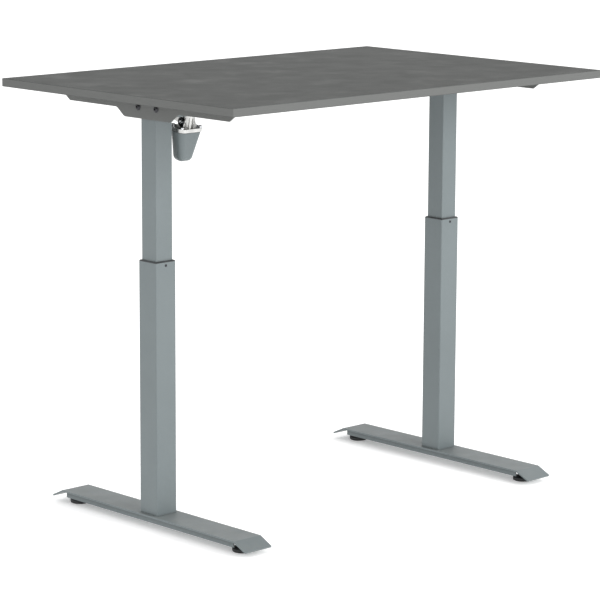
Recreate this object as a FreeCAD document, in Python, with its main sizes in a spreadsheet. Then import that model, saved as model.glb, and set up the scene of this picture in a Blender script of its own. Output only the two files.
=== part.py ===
import FreeCAD, Part
import os

import Sketcher
from FreeCAD import Placement, Rotation, Vector

# Height adjustable standing desk with one motor and a through shaft.
# Millimetres. X runs along the width, Y along the depth, Z up from the floor.
# The desk is drawn at the raised height named by top_height.

DIMENSIONS = {
    "top_width": 1200,
    "top_depth": 800,
    "top_thick": 19,
    "top_height": 1018,
    "top_edge_round": 1.5,
    "column_offset": 470,
    "foot_width": 80,
    "foot_flat": 610,
    "foot_ramp": 38,
    "foot_top": 33,
    "foot_tip": 15,
    "foot_sheet": 4,
    "channel_width": 68,
    "channel_length": 592,
    "channel_bottom": 16,
    "channel_sheet": 3,
    "outer_size": 60,
    "outer_wall": 1.5,
    "outer_round": 3,
    "outer_top": 624,
    "inner_size": 50,
    "inner_wall": 1.5,
    "inner_round": 2.5,
    "inner_bottom": 370,
    "inner_top": 950,
    "block_height": 12,
    "block_bolt_offset": 18,
    "running_gap": 0.2,
    "collar_rim": 3,
    "collar_chamfer": 2,
    "collar_lining": 44,
    "collar_screw_drop": 7,
    "pad_height": 40,
    "glide_radius": 23,
    "glide_offset": 288,
    "stud_radius": 4,
    "support_radius": 14,
    "support_wall": 2,
    "support_top": 545,
    "nut_radius": 18,
    "nut_height": 40,
    "spindle_radius": 8,
    "spindle_bottom": 385,
    "spindle_journal": 6,
    "bearing_radius": 14,
    "bearing_height": 10,
    "bearing_bottom": 929,
    "bracket_sheet": 3,
    "bracket_half": 292,
    "bracket_half_lower": 275,
    "bracket_end_depth": 17,
    "bracket_shallow": 29,
    "bracket_deep": 49,
    "bracket_deep_half": 80,
    "bracket_shoulder_half": 106,
    "bracket_flange": 32,
    "bracket_curve": 14,
    "beam_width": 100,
    "beam_height": 40,
    "beam_sheet": 2.5,
    "beam_bolt_offset": 31,
    "beam_bolt_drop": 23,
    "bolt_head_radius": 8,
    "bolt_head_height": 4,
    "bolt_shank": 4,
    "shaft_height": 960,
    "shaft_flats": 12,
    "shaft_journal": 4.5,
    "gear_pitch": 11,
    "gear_face": 5,
    "gear_addendum": 0.9,
    "gear_dedendum": 1.2,
    "gear_tooth": 1.1,
    "gear_teeth": 14,
    "gearbox_depth": 40,
    "gearbox_wall": 3,
    "motor_x": 398,
    "motor_tilt": 11.4,
    "worm_distance": 26.6,
    "wheel_teeth": 28,
    "wheel_root": 16.2,
    "wheel_tip": 18.4,
    "wheel_tooth": 1.1,
    "wheel_face": 6,
    "worm_core": 7.6,
    "worm_pin": 4,
    "rotor_radius": 9,
    "drum_near": 8,
    "drum_far": 16,
    "cap_radius": 11,
    "worm_tip": 10,
    "worm_length": 26,
    "drum_radius": 22.4,
    "case_radius": 15,
    "flange_width": 70,
    "flange_depth": 46,
    "flange_thick": 8,
    "flange_round": 15,
    "flange_drop": 27,
    "cover_width": 68,
    "cover_depth": 42,
    "cover_lower_width": 38,
    "cover_lower_depth": 34,
    "cover_length": 73,
    "cover_round": 14,
    "cover_wall": 2,
    "control_length": 240,
    "control_width": 90,
    "control_height": 30,
    "control_y": 200,
    "handset_length": 110,
    "handset_depth": 56,
    "handset_height": 22,
    "handset_x": 380,
    "handset_y": 366,
    "lid_thick": 2.5,
    "button_size": 14,
}

NOTES = {
    "top_height": "height of the work surface as drawn",
    "column_offset": "from the middle of the desk to the axis of each column",
    "motor_tilt": "degrees",
}

doc = FreeCAD.newDocument("standing_desk")
os.makedirs("parts", exist_ok=True)

sheet = doc.addObject("Spreadsheet::Sheet", "dims")
for row, (alias, number) in enumerate(DIMENSIONS.items(), start=1):
    sheet.set(f"A{row}", alias)
    sheet.set(f"B{row}", str(number))
    sheet.set(f"C{row}", NOTES.get(alias, "mm"))
    sheet.setAlias(f"B{row}", alias)
doc.recompute()


class Size:
    """A number together with the sheet expression that drives it."""

    def __init__(self, number, text):
        self.number = number
        self.text = text

    def __add__(self, other):
        other = as_size(other)
        return Size(self.number + other.number, f"({self.text} + {other.text})")

    def __sub__(self, other):
        other = as_size(other)
        return Size(self.number - other.number, f"({self.text} - {other.text})")

    def __mul__(self, other):
        other = as_size(other)
        return Size(self.number * other.number, f"({self.text} * {other.text})")

    def __truediv__(self, other):
        other = as_size(other)
        return Size(self.number / other.number, f"({self.text} / {other.text})")

    def __neg__(self):
        return Size(-self.number, f"(0 - {self.text})")

    __radd__ = __add__
    __rmul__ = __mul__


def as_size(value):
    return value if isinstance(value, Size) else Size(float(value), f"{value}")


class Dimensions:
    """Gives each sheet alias as a Size."""

    def __getattr__(self, alias):
        return Size(float(DIMENSIONS[alias]), f"dims.{alias}")


D = Dimensions()
COLUMN_SIDES = {"left": -1, "right": 1}

# The nodes that are written, in order.
NODES = []


def keep(item, label):
    item.Label = label
    NODES.append(item)
    return item


def place(item, x=0, y=0, z=0, rotation=None):
    """Sets an object's turn, and binds its position to the sheet."""
    item.Placement = Placement(Vector(0, 0, 0), rotation or Rotation())
    for axis, value in zip("xyz", (x, y, z)):
        item.setExpression(f"Placement.Base.{axis}", as_size(value).text)
    return item


def box(name, size, corner):
    item = doc.addObject("Part::Box", name)
    for prop, value in zip(("Length", "Width", "Height"), size):
        item.setExpression(prop, as_size(value).text)
    return place(item, *corner)


def centred_box(name, size, centre, bottom):
    """A box centred on a point of the plan, standing on a given height."""
    size = [as_size(value) for value in size]
    corner = (as_size(centre[0]) - size[0] / 2, as_size(centre[1]) - size[1] / 2, bottom)
    return box(name, size, corner)


def cylinder(name, radius, height, base, rotation=None):
    item = doc.addObject("Part::Cylinder", name)
    item.setExpression("Radius", as_size(radius).text)
    item.setExpression("Height", as_size(height).text)
    return place(item, *base, rotation)


def cut(name, base, tool):
    item = doc.addObject("Part::Cut", name)
    item.Base = base
    item.Tool = tool
    return item


def fuse(name, shapes):
    item = doc.addObject("Part::MultiFuse", name)
    item.Shapes = shapes
    return item


def group(name, shapes):
    item = doc.addObject("Part::Compound", name)
    item.Links = shapes
    return item


def new_body(name):
    return doc.addObject("PartDesign::Body", name)


def new_sketch(body, name, plane, height=None):
    """A sketch on one of the body's origin planes, or at a height above it."""
    sketch = body.newObject("Sketcher::SketchObject", name)
    for feature in body.Origin.OriginFeatures:
        if feature.Role == plane:
            sketch.AttachmentSupport = [(feature, "")]
    sketch.MapMode = "FlatFace"
    if height is not None:
        sketch.setExpression("AttachmentOffset.Base.z", as_size(height).text)
    return sketch


def bind_distance(sketch, kind, geometry, vertex, value):
    """Locates one vertex from the sketch origin along one axis."""
    value = as_size(value)
    index = sketch.addConstraint(
        Sketcher.Constraint(kind, -1, 1, geometry, vertex, value.number)
    )
    if "dims." in value.text:
        sketch.setExpression(f"Constraints[{index}]", value.text)


def polygon(sketch, points):
    """A closed outline whose every corner is tied to the sheet."""
    corners = [(as_size(x), as_size(y)) for x, y in points]
    first = sketch.GeometryCount
    count = len(corners)
    for index, (x, y) in enumerate(corners):
        next_x, next_y = corners[(index + 1) % count]
        start = Vector(x.number, y.number, 0)
        end = Vector(next_x.number, next_y.number, 0)
        sketch.addGeometry(Part.LineSegment(start, end), False)
    for index in range(count):
        follower = first + (index + 1) % count
        sketch.addConstraint(Sketcher.Constraint("Coincident", first + index, 2, follower, 1))
    for index, (x, y) in enumerate(corners):
        bind_distance(sketch, "DistanceX", first + index, 1, x)
        bind_distance(sketch, "DistanceY", first + index, 1, y)


def rectangle(sketch, width, depth, x=0, y=0):
    half_width = as_size(width) / 2
    half_depth = as_size(depth) / 2
    x = as_size(x)
    y = as_size(y)
    polygon(sketch, [
        (x - half_width, y - half_depth),
        (x + half_width, y - half_depth),
        (x + half_width, y + half_depth),
        (x - half_width, y + half_depth),
    ])


def circle(sketch, x, y, radius):
    x = as_size(x)
    y = as_size(y)
    radius = as_size(radius)
    index = sketch.addGeometry(
        Part.Circle(Vector(x.number, y.number, 0), Vector(0, 0, 1), radius.number), False
    )
    bind_distance(sketch, "DistanceX", index, 3, x)
    bind_distance(sketch, "DistanceY", index, 3, y)
    constraint = sketch.addConstraint(Sketcher.Constraint("Radius", index, radius.number))
    if "dims." in radius.text:
        sketch.setExpression(f"Constraints[{constraint}]", radius.text)


def pad(body, sketch, name, length, midplane=False, reverse=False):
    feature = body.newObject("PartDesign::Pad", name)
    feature.Profile = sketch
    feature.setExpression("Length", as_size(length).text)
    feature.Midplane = midplane
    feature.Reversed = reverse
    doc.recompute()
    return feature


def pocket(body, sketch, name, length=None, reverse=False, midplane=False):
    """Cuts a sketch into the body, through everything when no length is given."""
    before = body.Shape.Volume
    feature = body.newObject("PartDesign::Pocket", name)
    feature.Profile = sketch
    feature.Reversed = reverse
    feature.Midplane = midplane
    if length is None:
        feature.Type = 1
    else:
        feature.setExpression("Length", as_size(length).text)
    doc.recompute()
    if not body.Shape.Volume < before - 0.01:
        raise RuntimeError(f"{body.Name}.{name} removed nothing")
    return feature


def revolve(body, sketch, name):
    feature = body.newObject("PartDesign::Revolution", name)
    feature.Profile = sketch
    feature.ReferenceAxis = (sketch, ["V_Axis"])
    feature.Angle = 360
    doc.recompute()
    return feature


def turned_body(name, profile):
    """A round part from its half outline, given as radius and height pairs."""
    body = new_body(name)
    sketch = new_sketch(body, f"{name}_profile", "XZ_Plane")
    polygon(sketch, profile)
    revolve(body, sketch, f"{name}_turned")
    return body


def edges_where(feature, test):
    names = []
    for index, edge in enumerate(feature.Shape.Edges, start=1):
        if test(edge):
            names.append(f"Edge{index}")
    if not names:
        raise RuntimeError(f"no edge found on {feature.Name}")
    return names


def is_along(edge, axis):
    """True for a straight edge that runs along the axis 0, 1 or 2."""
    if not isinstance(edge.Curve, Part.Line):
        return False
    return abs(abs(edge.Curve.Direction[axis]) - 1) < 1e-6


def dress(body, kind, name, feature, edges, size):
    """Adds a Fillet (by Radius) or a Chamfer (by Size) to the named edges."""
    item = body.newObject(f"PartDesign::{kind}", name)
    item.Base = (feature, edges)
    item.setExpression("Radius" if kind == "Fillet" else "Size", as_size(size).text)
    doc.recompute()
    return item


def square_tube(name, size, wall, corner, length):
    """A square tube standing on its own origin, with rounded long edges."""
    body = new_body(name)
    outline = new_sketch(body, f"{name}_outline", "XY_Plane")
    rectangle(outline, size, size)
    solid = pad(body, outline, f"{name}_bar", length)
    half = size.number / 2
    outer_edges = edges_where(solid, lambda edge: is_along(edge, 2))
    dress(body, "Fillet", f"{name}_corners", solid, outer_edges, corner)
    bore = new_sketch(body, f"{name}_bore_outline", "XY_Plane")
    rectangle(bore, size - wall * 2, size - wall * 2)
    pocket(body, bore, f"{name}_bore", length, reverse=True)
    inner = half - wall.number
    hollow = body.Tip
    inner_edges = edges_where(
        hollow,
        lambda edge: is_along(edge, 2)
        and abs(abs(edge.CenterOfMass.x) - inner) < 0.01
        and abs(abs(edge.CenterOfMass.y) - inner) < 0.01,
    )
    dress(body, "Fillet", f"{name}_inner_corners", hollow, inner_edges, corner - wall / 2)
    return body


def copies(name, make_one, places):
    """Identical separate solids in one node. make_one(name) returns one at the origin."""
    items = []
    for number, (x, y, z, rotation) in enumerate(places, start=1):
        items.append(place(make_one(f"{name}_{number}"), x, y, z, rotation))
    return group(name, items)


def column_x(sign):
    return D.column_offset * sign


# ---------------------------------------------------------------- base: feet

underside = D.top_height - D.top_thick
plate_bottom = D.foot_top - D.foot_sheet
ramp_end = D.foot_flat / 2 + D.foot_ramp


def foot_plate(name):
    """A strip with both ends bent down, and four bolt holes under the column."""
    body = new_body(name)
    side = new_sketch(body, f"{name}_side", "YZ_Plane")
    flat = D.foot_flat / 2
    polygon(side, [
        (-ramp_end, D.foot_tip),
        (-flat, D.foot_top),
        (flat, D.foot_top),
        (ramp_end, D.foot_tip),
        (ramp_end - 2, D.foot_tip - D.foot_sheet + 1),
        (flat - 1, plate_bottom),
        (-flat + 1, plate_bottom),
        (-ramp_end + 2, D.foot_tip - D.foot_sheet + 1),
    ])
    strip = pad(body, side, f"{name}_strip", D.foot_width, midplane=True)
    tips = edges_where(
        strip,
        lambda edge: not is_along(edge, 0)
        and not is_along(edge, 1)
        and edge.Length < 2 * DIMENSIONS["foot_sheet"],
    )
    dress(body, "Fillet", f"{name}_tips", strip, tips, 2)
    holes = new_sketch(body, f"{name}_hole_marks", "XY_Plane")
    for x, y in BOLT_SQUARE:
        circle(holes, x, y, D.bolt_shank + 0.3)
    pocket(body, holes, f"{name}_holes", reverse=True)
    return body


def foot_channel(name):
    """A down-facing channel that stiffens the foot and carries the glides."""
    body = new_body(name)
    end = new_sketch(body, f"{name}_end", "XZ_Plane")
    half = D.channel_width / 2
    web_bottom = plate_bottom - D.channel_sheet
    polygon(end, [
        (-half, D.channel_bottom),
        (-half, plate_bottom),
        (half, plate_bottom),
        (half, D.channel_bottom),
        (half - D.channel_sheet, D.channel_bottom),
        (half - D.channel_sheet, web_bottom),
        (-half + D.channel_sheet, web_bottom),
        (-half + D.channel_sheet, D.channel_bottom),
    ])
    pad(body, end, f"{name}_section", D.channel_length, midplane=True)
    holes = new_sketch(body, f"{name}_hole_marks", "XY_Plane")
    for x, y in BOLT_SQUARE:
        circle(holes, x, y, D.bolt_shank + 0.3)
    for sign in (-1, 1):
        circle(holes, 0, D.glide_offset * sign, D.stud_radius + 3)
    pocket(body, holes, f"{name}_holes", reverse=True)
    return body


BOLT_SQUARE = [
    (D.block_bolt_offset * x, D.block_bolt_offset * y) for x in (-1, 1) for y in (-1, 1)
]


def column_block(name):
    """The threaded block welded into the foot of the outer tube."""
    body = new_body(name)
    outline = new_sketch(body, f"{name}_outline", "XY_Plane")
    size = D.outer_size - D.outer_wall * 2
    rectangle(outline, size, size)
    for x, y in BOLT_SQUARE:
        circle(outline, x, y, D.bolt_shank)
    block = pad(body, outline, f"{name}_plate", D.block_height)
    half = size.number / 2
    corners = edges_where(
        block,
        lambda edge: is_along(edge, 2) and abs(abs(edge.CenterOfMass.x) - half) < 0.01,
    )
    dress(body, "Fillet", f"{name}_corners", block, corners, D.outer_round)
    return body


def foot_bolt(name):
    """A socket screw, with its head below the channel web."""
    head = D.bolt_shank + 2.5
    length = D.foot_sheet + D.channel_sheet + D.block_height - 1
    return turned_body(name, [
        (0, -2), (2.5, -2), (2.5, -5), (head - 0.5, -5), (head, -4.5), (head, 0),
        (D.bolt_shank, 0), (D.bolt_shank, length - 1), (D.bolt_shank - 1, length), (0, length),
    ])


def glide(name):
    """A round levelling glide with a soft foot and a threaded stud."""
    radius = D.glide_radius
    stud = D.stud_radius
    return turned_body(name, [
        (0, 0), (radius - 3, 0), (radius - 0.8, 1), (radius, 3), (radius, 8), (radius - 2, 10),
        (11, 11.5), (9, 12), (9, 17), (stud, 17), (stud, 27), (stud - 0.8, 28), (0, 28),
    ])


def glide_nut(name):
    """The threaded insert pressed into the channel web for one glide."""
    inner = D.stud_radius + 0.05
    shank = D.stud_radius + 3
    return turned_body(name, [
        (inner, -5), (shank - 0.7, -5), (shank - 0.7, -1.2), (shank + 2, -1.2), (shank + 2, 0),
        (shank, 0), (shank, 3), (inner, 3),
    ])


for side, sign in COLUMN_SIDES.items():
    keep(place(foot_plate(f"foot_plate_{side}"), column_x(sign)), f"foot_plate_{side}")
    keep(place(foot_channel(f"foot_channel_{side}"), column_x(sign)), f"foot_channel_{side}")
    keep(place(column_block(f"column_block_{side}"), column_x(sign), 0, D.foot_top),
         f"column_block_{side}")
    for end, end_sign in (("front", -1), ("rear", 1)):
        label = f"glide_{end}_{side}"
        keep(place(glide(label), column_x(sign), D.glide_offset * end_sign, 0), label)

bolt_places = [
    (column_x(sign) + x, y, plate_bottom - D.channel_sheet, None)
    for sign in COLUMN_SIDES.values()
    for x, y in BOLT_SQUARE
]
keep(copies("foot_bolts", foot_bolt, bolt_places), "foot_bolts")

glide_nut_places = [
    (column_x(sign), D.glide_offset * end, plate_bottom - D.channel_sheet, None)
    for sign in COLUMN_SIDES.values()
    for end in (-1, 1)
]
keep(copies("glide_nuts", glide_nut, glide_nut_places), "glide_nuts")

# ------------------------------------------------------- base: lower columns


def outer_tube(name):
    """The lower, wider tube of a column, with a screw hole near its top."""
    body = square_tube(
        name, D.outer_size, D.outer_wall, D.outer_round, D.outer_top - D.foot_top
    )
    hole = new_sketch(body, f"{name}_screw_mark", "XZ_Plane")
    circle(hole, 0, D.outer_top - D.foot_top - D.collar_screw_drop, 2.1)
    pocket(body, hole, f"{name}_screw_hole", D.outer_size, reverse=True)
    return body


def collar(name):
    """The plastic guide: a thin rim on the outer tube and a lining inside it."""
    body = new_body(name)
    height = D.collar_rim + D.collar_lining
    outline = new_sketch(body, f"{name}_lining_outline", "XY_Plane")
    lining = D.outer_size - D.outer_wall * 2
    rectangle(outline, lining, lining)
    lower = pad(body, outline, f"{name}_lining", height)
    corners = edges_where(lower, lambda edge: is_along(edge, 2))
    dress(body, "Fillet", f"{name}_lining_corners", lower, corners, D.outer_round)
    rim_outline = new_sketch(body, f"{name}_rim_outline", "XY_Plane", D.collar_lining)
    rectangle(rim_outline, D.outer_size, D.outer_size)
    rim = pad(body, rim_outline, f"{name}_rim", D.collar_rim)
    half = D.outer_size.number / 2
    rim_corners = edges_where(
        rim,
        lambda edge: is_along(edge, 2)
        and abs(abs(edge.CenterOfMass.x) - half) < 0.01
        and abs(abs(edge.CenterOfMass.y) - half) < 0.01,
    )
    rounded = dress(body, "Fillet", f"{name}_rim_corners", rim, rim_corners, D.outer_round)
    top = height.number
    top_edges = edges_where(
        rounded, lambda edge: all(abs(vertex.Z - top) < 0.01 for vertex in edge.Vertexes)
    )
    dress(body, "Chamfer", f"{name}_rim_chamfer", rounded, top_edges, D.collar_chamfer)
    bore = new_sketch(body, f"{name}_bore_outline", "XY_Plane")
    opening = D.inner_size + D.running_gap * 2
    rectangle(bore, opening, opening)
    pocket(body, bore, f"{name}_bore", reverse=True)
    screw = new_sketch(body, f"{name}_screw_mark", "XZ_Plane")
    circle(screw, 0, D.collar_lining - D.collar_screw_drop, 1.6)
    pocket(body, screw, f"{name}_screw_hole", D.outer_size, reverse=True)
    return body


def collar_screw(name):
    """A small round-headed screw that pins the collar in the tube."""
    return turned_body(name, [
        (0, -2.9), (1.55, -2.9), (1.55, 0), (3, 0), (3, 0.7), (2.2, 1.3), (0.9, 1.5), (0.9, 0.6),
        (0, 0.6),
    ])


def support_tube(name):
    """The round tube that stands in the column and carries the spindle nut."""
    radius = D.support_radius
    inner = D.support_radius - D.support_wall
    length = D.support_top - D.foot_top - D.block_height
    return turned_body(name, [(inner, 0), (radius, 0), (radius, length), (inner, length)])


def spindle_nut(name):
    """The flanged plastic nut on the support tube. The thread is drawn as a plain bore."""
    bore = D.spindle_radius + D.running_gap / 2
    spigot = D.support_radius - D.support_wall
    return turned_body(name, [
        (bore, -20), (spigot, -20), (spigot, 0), (D.nut_radius, 0), (D.nut_radius, 8),
        (D.nut_radius - 4, 10), (D.nut_radius - 4, D.nut_height - 2),
        (D.nut_radius - 6, D.nut_height), (bore, D.nut_height),
    ])


for side, sign in COLUMN_SIDES.items():
    x = column_x(sign)
    keep(place(outer_tube(f"outer_tube_{side}"), x, 0, D.foot_top), f"outer_tube_{side}")
    keep(place(collar(f"collar_{side}"), x, 0, D.outer_top - D.collar_lining), f"collar_{side}")
    keep(place(support_tube(f"support_tube_{side}"), x, 0, D.foot_top + D.block_height),
         f"support_tube_{side}")
    keep(place(spindle_nut(f"spindle_nut_{side}"), x, 0, D.support_top), f"spindle_nut_{side}")

toward_front = Rotation(Vector(1, 0, 0), 90)
collar_screw_places = [
    (column_x(sign), -D.outer_size / 2, D.outer_top - D.collar_screw_drop, toward_front)
    for sign in COLUMN_SIDES.values()
]
keep(copies("collar_screws", collar_screw, collar_screw_places), "collar_screws")

# ------------------------------------------------------ lift: upper columns


def slide_pad(name):
    """The plastic sleeve on the foot of the inner tube."""
    body = new_body(name)
    outline = new_sketch(body, f"{name}_outline", "XY_Plane")
    size = D.outer_size - D.outer_wall * 2 - D.running_gap * 2
    rectangle(outline, size, size)
    sleeve = pad(body, outline, f"{name}_sleeve", D.pad_height)
    corners = edges_where(sleeve, lambda edge: is_along(edge, 2))
    dress(body, "Fillet", f"{name}_corners", sleeve, corners, D.outer_round)
    bore = new_sketch(body, f"{name}_bore_outline", "XY_Plane")
    rectangle(bore, D.inner_size, D.inner_size)
    hollow = pocket(body, bore, f"{name}_bore", D.pad_height, reverse=True)
    half = D.inner_size.number / 2
    inner_corners = edges_where(
        hollow,
        lambda edge: is_along(edge, 2)
        and abs(abs(edge.CenterOfMass.x) - half) < 0.01
        and abs(abs(edge.CenterOfMass.y) - half) < 0.01,
    )
    dress(body, "Fillet", f"{name}_bore_corners", hollow, inner_corners, D.inner_round)
    return body


def gearbox_body(name, sign):
    """The cast housing on top of a column: a plug in the tube and a gear chamber above."""
    outward = D.inner_size / 2 - 5
    plug_size = D.inner_size - D.inner_wall * 2 - 1.2
    plug = centred_box(f"{name}_plug", (plug_size, plug_size, 25), (0, 0), D.inner_top - 25)
    top = underside - 17
    chamber = centred_box(
        f"{name}_chamber", (outward * 2 + 4, D.gearbox_depth, top - D.inner_top), (0, 0),
        D.inner_top,
    )
    block = fuse(f"{name}_block", [plug, chamber])
    room = centred_box(
        f"{name}_room", (outward * 2 - 2, D.gearbox_depth - D.gearbox_wall * 2, 50), (0, 0),
        D.bearing_bottom + D.bearing_height,
    )
    seat = cylinder(
        f"{name}_seat", D.bearing_radius, D.bearing_height, (0, 0, D.bearing_bottom)
    )
    throat = cylinder(f"{name}_throat", D.spindle_radius + 1, 20, (0, 0, D.inner_top - 30))
    inward = Rotation(Vector(0, 1, 0), -90 * sign)
    passage = cylinder(f"{name}_passage", D.shaft_flats * 0.65, 40, (0, 0, D.shaft_height), inward)
    voids = fuse(f"{name}_voids", [room, seat, throat, passage])
    return cut(name, block, voids)


def gearbox_lid(name):
    """The flat lid that closes a gear chamber from above."""
    outward = D.inner_size / 2 - 5
    lid = centred_box(f"{name}_sheet", (outward * 2 + 4, D.gearbox_depth, 4), (0, 0),
                      underside - 17)
    rounded = doc.addObject("Part::Chamfer", name)
    rounded.Base = lid
    doc.recompute()
    top = lid.Shape.BoundBox.ZMax
    edges = []
    for index, edge in enumerate(lid.Shape.Edges, start=1):
        if all(abs(vertex.Z - top) < 0.01 for vertex in edge.Vertexes):
            edges.append((index, 0.8, 0.8))
    rounded.Edges = edges
    return rounded


def spindle_bearing(name):
    """A ball bearing drawn as its closed outline, with a step at each shield."""
    outer = D.bearing_radius
    inner = D.spindle_journal
    height = D.bearing_height
    return turned_body(name, [
        (inner, 0), (inner + 2, 0), (inner + 2, 0.6), (outer - 2, 0.6), (outer - 2, 0), (outer, 0),
        (outer, height), (outer - 2, height), (outer - 2, height - 0.6), (inner + 2, height - 0.6),
        (inner + 2, height), (inner, height),
    ])


def spindle(name):
    """The lifting screw. Its thread is drawn as a plain cylinder at the pitch diameter."""
    radius = D.spindle_radius
    journal = D.spindle_journal - 0.05
    step = D.bearing_bottom - D.spindle_bottom
    top = D.shaft_height - D.gear_pitch - D.spindle_bottom
    return turned_body(name, [
        (0, 0), (radius - 2, 0), (radius, 2), (radius, step), (journal, step), (journal, top - 5),
        (journal - 1, top - 5), (journal - 1, top + 3.5), (0, top + 3.5),
    ])


def bevel_gear(name, bore):
    """A bevel gear whose axis is Z and whose pitch cone ends at the origin."""
    body = new_body(name)
    pitch = D.gear_pitch
    lift = 0.7071
    root = D.gear_dedendum * lift
    tip = D.gear_addendum * lift
    inner = D.gear_pitch - D.gear_face * lift
    blank = new_sketch(body, f"{name}_blank_profile", "XZ_Plane")
    polygon(blank, [
        (bore, -pitch - 5), (pitch - 2, -pitch - 5), (pitch - root, -pitch - root),
        (inner - root, -inner - root), (bore, -inner - root),
    ])
    revolve(body, blank, f"{name}_blank")
    side = new_sketch(body, f"{name}_tooth_profile", "XZ_Plane")
    polygon(side, [
        (pitch - root - 0.6, -pitch - root - 0.6), (pitch + tip, -pitch + tip),
        (inner + tip, -inner + tip), (inner - root - 0.6, -inner - root - 0.6),
    ])
    tooth = pad(body, side, f"{name}_tooth", D.gear_tooth, midplane=True)
    ring = body.newObject("PartDesign::PolarPattern", f"{name}_teeth")
    ring.Originals = [tooth]
    for feature in body.Origin.OriginFeatures:
        if feature.Role == "Z_Axis":
            ring.Axis = (feature, [""])
    ring.Angle = 360
    ring.setExpression("Occurrences", D.gear_teeth.text)
    body.Tip = ring
    doc.recompute()
    return body


inner_length = D.inner_top - D.inner_bottom
half_pitch_angle = 180 / DIMENSIONS["gear_teeth"]
for side, sign in COLUMN_SIDES.items():
    x = column_x(sign)
    tube = square_tube(
        f"inner_tube_{side}", D.inner_size, D.inner_wall, D.inner_round, inner_length
    )
    keep(place(tube, x, 0, D.inner_bottom), f"inner_tube_{side}")
    keep(place(slide_pad(f"slide_pad_{side}"), x, 0, D.inner_bottom), f"slide_pad_{side}")
    keep(place(gearbox_body(f"gearbox_body_{side}", sign), x), f"gearbox_body_{side}")
    keep(place(spindle(f"spindle_{side}"), x, 0, D.spindle_bottom), f"spindle_{side}")
    lower_gear = bevel_gear(f"spindle_gear_{side}", D.spindle_journal - 1.05)
    keep(place(lower_gear, x, 0, D.shaft_height), f"spindle_gear_{side}")
    toward_column = Rotation(Vector(0, 1, 0), 90 * sign)
    half_tooth = Rotation(Vector(1, 0, 0), half_pitch_angle)
    upper_gear = bevel_gear(f"shaft_gear_{side}", D.shaft_journal)
    keep(place(upper_gear, x, 0, D.shaft_height, half_tooth.multiply(toward_column)),
         f"shaft_gear_{side}")

bearing_places = [(column_x(sign), 0, D.bearing_bottom, None) for sign in COLUMN_SIDES.values()]
keep(copies("spindle_bearings", spindle_bearing, bearing_places), "spindle_bearings")
lid_places = [(column_x(sign), 0, 0, None) for sign in COLUMN_SIDES.values()]
keep(copies("gearbox_lids", gearbox_lid, lid_places), "gearbox_lids")

# ----------------------------------------------------- lift: frame and top


def side_bracket(name, sign):
    """The shaped side sheet under the table top, with a flange turned inward."""
    body = new_body(name)
    side = new_sketch(body, f"{name}_side", "YZ_Plane", (column_x(sign) + D.inner_size / 2 * sign))
    outline = [
        (D.bracket_half, underside),
        (D.bracket_half, underside - D.bracket_end_depth),
        (D.bracket_half_lower, underside - D.bracket_shallow),
        (D.bracket_shoulder_half, underside - D.bracket_shallow),
        (D.bracket_deep_half, underside - D.bracket_deep),
    ]
    mirrored = [(-y, z) for y, z in reversed(outline)]
    polygon(side, outline + mirrored)
    sheet_part = pad(body, side, f"{name}_sheet", D.bracket_sheet, reverse=sign < 0)
    shoulders = [DIMENSIONS["bracket_shoulder_half"], DIMENSIONS["bracket_deep_half"]]
    bends = edges_where(
        sheet_part,
        lambda edge: is_along(edge, 0)
        and min(abs(abs(edge.CenterOfMass.y) - value) for value in shoulders) < 0.01,
    )
    dress(body, "Fillet", f"{name}_shoulders", sheet_part, bends, D.bracket_curve)
    flange = new_sketch(body, f"{name}_flange_outline", "XY_Plane", underside)
    inner_face = column_x(sign) + D.inner_size / 2 * sign
    rectangle(flange, D.bracket_flange, D.bracket_half * 2, inner_face - D.bracket_flange / 2 * sign)
    pad(body, flange, f"{name}_flange", D.bracket_sheet, reverse=True)
    bolts = new_sketch(body, f"{name}_bolt_marks", "YZ_Plane")
    for y_sign in (-1, 1):
        circle(bolts, D.beam_bolt_offset * y_sign, underside - D.beam_bolt_drop,
               D.bolt_shank + 0.3)
    pocket(body, bolts, f"{name}_bolt_holes", reverse=sign > 0)
    screws = new_sketch(body, f"{name}_screw_marks", "XY_Plane")
    for y in SCREW_ROW:
        circle(screws, inner_face - 18 * sign, y, 2.6)
    pocket(body, screws, f"{name}_screw_holes", reverse=True)
    return body


SCREW_ROW = [D.bracket_half * share for share in (-0.9, -0.42, 0.42, 0.9)]


def cross_beam(name):
    """The down-facing channel between the columns that covers the drive shaft."""
    body = new_body(name)
    end = new_sketch(body, f"{name}_end", "YZ_Plane")
    half = D.beam_width / 2
    top = underside - D.bracket_sheet
    bottom = top - D.beam_height
    polygon(end, [
        (-half, bottom), (-half, top), (half, top), (half, bottom),
        (half - D.beam_sheet, bottom), (half - D.beam_sheet, top - D.beam_sheet),
        (-half + D.beam_sheet, top - D.beam_sheet), (-half + D.beam_sheet, bottom),
    ])
    length = D.column_offset * 2 + D.inner_size - 6
    channel = pad(body, end, f"{name}_channel", length, midplane=True)
    corners = edges_where(
        channel,
        lambda edge: is_along(edge, 0)
        and abs(edge.CenterOfMass.z - top.number) < 0.01
        and abs(abs(edge.CenterOfMass.y) - half.number) < 0.01,
    )
    dress(body, "Fillet", f"{name}_corners", channel, corners, D.beam_sheet)
    return body


def beam_end(name):
    """The end plate of the beam, bored for its two bolts."""
    body = new_body(name)
    outline = new_sketch(body, f"{name}_outline", "YZ_Plane")
    middle = underside - D.bracket_sheet - D.beam_height / 2
    rectangle(outline, D.beam_width, D.beam_height, 0, middle)
    for y_sign in (-1, 1):
        circle(outline, D.beam_bolt_offset * y_sign, underside - D.beam_bolt_drop, D.bolt_shank)
    pad(body, outline, f"{name}_plate", 3)
    return body


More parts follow.
